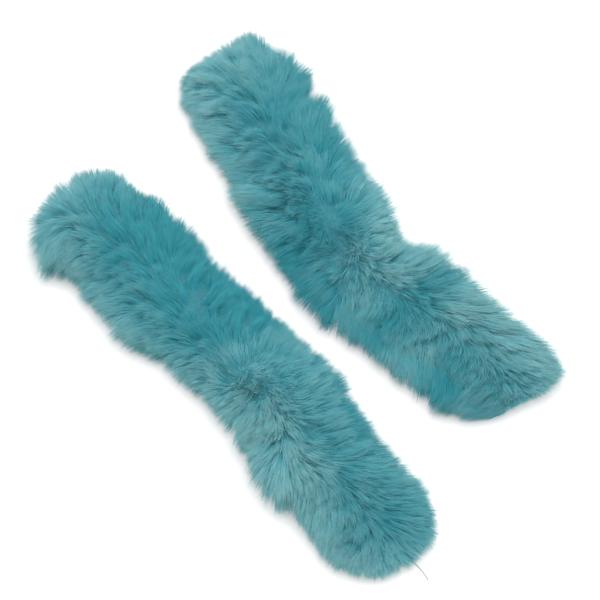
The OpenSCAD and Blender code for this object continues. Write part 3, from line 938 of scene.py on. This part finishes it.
def wadding_material():
    """Bonded white fibre, clouded and slightly fuzzy."""
    dark, light = (0.70, 0.70, 0.66), (0.86, 0.86, 0.83)
    m = Shading("bonded_wadding")
    cloud = m.node("TexNoise", {"Vector": m.place(), "Scale": 420.0, "Detail": 8.0, "Roughness": 0.7})
    cloud = cloud.outputs["Fac"]
    m.set(Base_Color=m.ramp(cloud, (0.3, *dark), (0.7, *light)), Roughness=0.95, Sheen_Weight=0.4,
          Specular_IOR_Level=0.1)
    m.bump(cloud, 0.2 * MM)
    return m.made


def thread_material():
    """Dark twisted polyester: fine slanting plies and a soft gloss."""
    dark, light = (0.040, 0.056, 0.058), (0.080, 0.102, 0.105)
    m = Shading("twisted_thread")
    place = m.place()
    ply = m.node("TexWave", {"Vector": place, "Scale": 160.0, "Distortion": 1.0}, bands_direction="DIAGONAL")
    ply = ply.outputs["Fac"]
    m.set(Base_Color=m.ramp(ply, (0.2, *dark), (0.8, *light)), Roughness=0.5, Sheen_Weight=0.3,
          Specular_IOR_Level=0.35)
    m.bump(ply, 0.05 * MM)
    return m.made


def nickel_material():
    """Plated brass: bright, with fine handling marks."""
    dark, light = (0.46, 0.45, 0.42), (0.56, 0.55, 0.52)
    m = Shading("nickel_plate")
    haze = m.node("TexNoise", {"Vector": m.place(), "Scale": 300.0, "Detail": 6.0}).outputs["Fac"]
    rough = m.node("MapRange", {"Value": haze, "To Min": 0.16, "To Max": 0.38}).outputs["Result"]
    m.set(Base_Color=m.ramp(haze, (0.3, *dark), (0.7, *light)), Metallic=1.0, Roughness=rough)
    m.bump(haze, 0.01 * MM, 0.5)
    return m.made


def seen_directly(tree):
    """1 for rays from the camera, from a mirror or through glass, and 0 for those that light a surface."""
    path = tree.nodes.new("ShaderNodeLightPath")
    total = path.outputs["Is Camera Ray"]
    for kind in ("Is Glossy Ray", "Is Transmission Ray"):
        add = tree.nodes.new("ShaderNodeMath")
        add.use_clamp = True
        tree.links.new(total, add.inputs[0])
        tree.links.new(path.outputs[kind], add.inputs[1])
        total = add.outputs["Value"]
    return total


def pale_floor():
    """A pale floor that keeps the shadow, lifted to white where it is seen directly."""
    floor_size = 12
    white_lift = 0.22
    bpy.ops.mesh.primitive_plane_add(size=floor_size, location=(0, 0, 0))
    floor = bpy.context.object
    floor.name = "floor"
    m = Shading("pale_floor")
    lift = m.node("Math", {0: seen_directly(m.tree), 1: white_lift}, operation="MULTIPLY").outputs["Value"]
    m.set(Base_Color=(0.86, 0.86, 0.86, 1), Roughness=0.9, Specular_IOR_Level=0.0,
          Emission_Color=(1, 1, 1, 1), Emission_Strength=lift)
    floor.data.materials.append(m.made)


def soft_light():
    """A soft overcast world, white where it is seen directly, and one large soft lamp overhead."""
    overcast, seen_white = 0.8, 1.0
    world = bpy.data.worlds.new("overcast")
    bpy.context.scene.world = world
    world.use_nodes = True
    nodes, links = world.node_tree.nodes, world.node_tree.links
    soft = nodes["Background"]
    white = nodes.new("ShaderNodeBackground")
    for sky, strength in ((soft, overcast), (white, seen_white)):
        sky.inputs["Color"].default_value = (1, 1, 1, 1)
        sky.inputs["Strength"].default_value = strength
    pick = nodes.new("ShaderNodeMixShader")
    links.new(seen_directly(world.node_tree), pick.inputs["Fac"])
    links.new(soft.outputs["Background"], pick.inputs[1])
    links.new(white.outputs["Background"], pick.inputs[2])
    links.new(pick.outputs["Shader"], nodes["World Output"].inputs["Surface"])

    lamp = bpy.data.lights.new("soft_box", "AREA")
    lamp.shape = "DISK"
    lamp.size = 1.5
    lamp.energy = 15
    key = link("soft_box", lamp)
    key.location = (0.05, 0.1, 1.65)
    key.rotation_euler = (-key.location).to_track_quat("-Z", "Y").to_euler()


def photo_camera():
    """The photograph's camera: its turn, height and distance, and what its middle looks at."""
    azimuth, elevation = math.radians(50.17), math.radians(61.6)
    distance = 1.5
    focal_px, width_px = 2077, 600
    off_right, off_up = 0.78 * MM, -0.81 * MM
    right = Vector((math.cos(azimuth), math.sin(azimuth), 0))
    ahead = Vector((-math.sin(azimuth), math.cos(azimuth), 0))
    back = Vector((0, 0, math.sin(elevation))) - ahead * math.cos(elevation)
    up = back.cross(right)
    data = bpy.data.cameras.new("camera")
    data.sensor_width = 36
    data.lens = data.sensor_width * focal_px / width_px
    camera = link("camera", data)
    camera.location = right * off_right + up * off_up + back * distance
    camera.rotation_mode = "QUATERNION"
    camera.rotation_quaternion = (-back).to_track_quat("-Z", "Y")
    bpy.context.scene.camera = camera


def dress(piece, look, body, slot, *nodes):
    """Gives a piece its material and its body, and hides the nodes that it stands for; slot is not used."""
    piece.data.materials.append(look)
    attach(piece, body)
    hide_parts(*nodes)


photo_camera()
pale_floor()
soft_light()
bpy.context.scene.view_settings.view_transform = "Standard"

pile_looks = {crop: pile_material("dyed_acrylic_painted_light_" + crop, tip) for crop, tip in TIP_DYES_AND_SHADE.items()}
underfur_painted_shade_look = painted_shade_underfur_material()
lining_look = lining_material()
backing_look = backing_material()
wadding_look = wadding_material()
stay_look = stay_material()
thread_look = thread_material()
nickel_look = nickel_material()

for name, facts in CUFFS.items():
    strip = Strip(name, **facts)
    body = name + "_cuff"
    pile_node = name + "_fur_pile"
    rng = np.random.default_rng(strip.seed)
    crops = {
        "pile": grow(strip, rng, face_roots(rng), TOP_POINTS),
        "fringe": grow(strip, rng, edge_roots(strip, rng), RIM_POINTS),
    }
    for crop, fibres in crops.items():
        count, points, _ = fibres[0].shape
        each = TRIANGLES_A_PIECE // triangles_a_fibre(points)
        for k, first in enumerate(range(0, count, each), 1):
            section = fibre_mesh(f"{name}_{crop}_{k}", *(v[first:first + each] for v in fibres))
            dress(section, pile_looks[crop], body, "fur", pile_node)
    dress(underfur(strip), underfur_painted_shade_look, body, "fur", pile_node)

    backing = backing_cloth(strip)
    dress(backing, backing_look, body, "fur_backing", name + "_fur_backing")
    lining = lining_cloth(strip)
    dress(lining, lining_look, body, "lining", name + "_lining")
    filling = wadding(strip)
    dress(filling, wadding_look, body, "wadding", name + "_interlining")
    for k in range(1, STUD_COUNT + 1):
        stay = stay_cloth(strip, k)
        dress(stay, stay_look, body, "wadding", f"{name}_stud_stay_{k}")

    if name == "left":
        thread, start, length = loose_thread(strip)
        dress(thread, thread_look, body, "thread", "left_thread_tail")

for name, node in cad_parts.items():
    for word, look in (("press_stud", nickel_look), ("stitching", thread_look)):
        if word in name:
            node.data.materials.clear()
            node.data.materials.append(look)
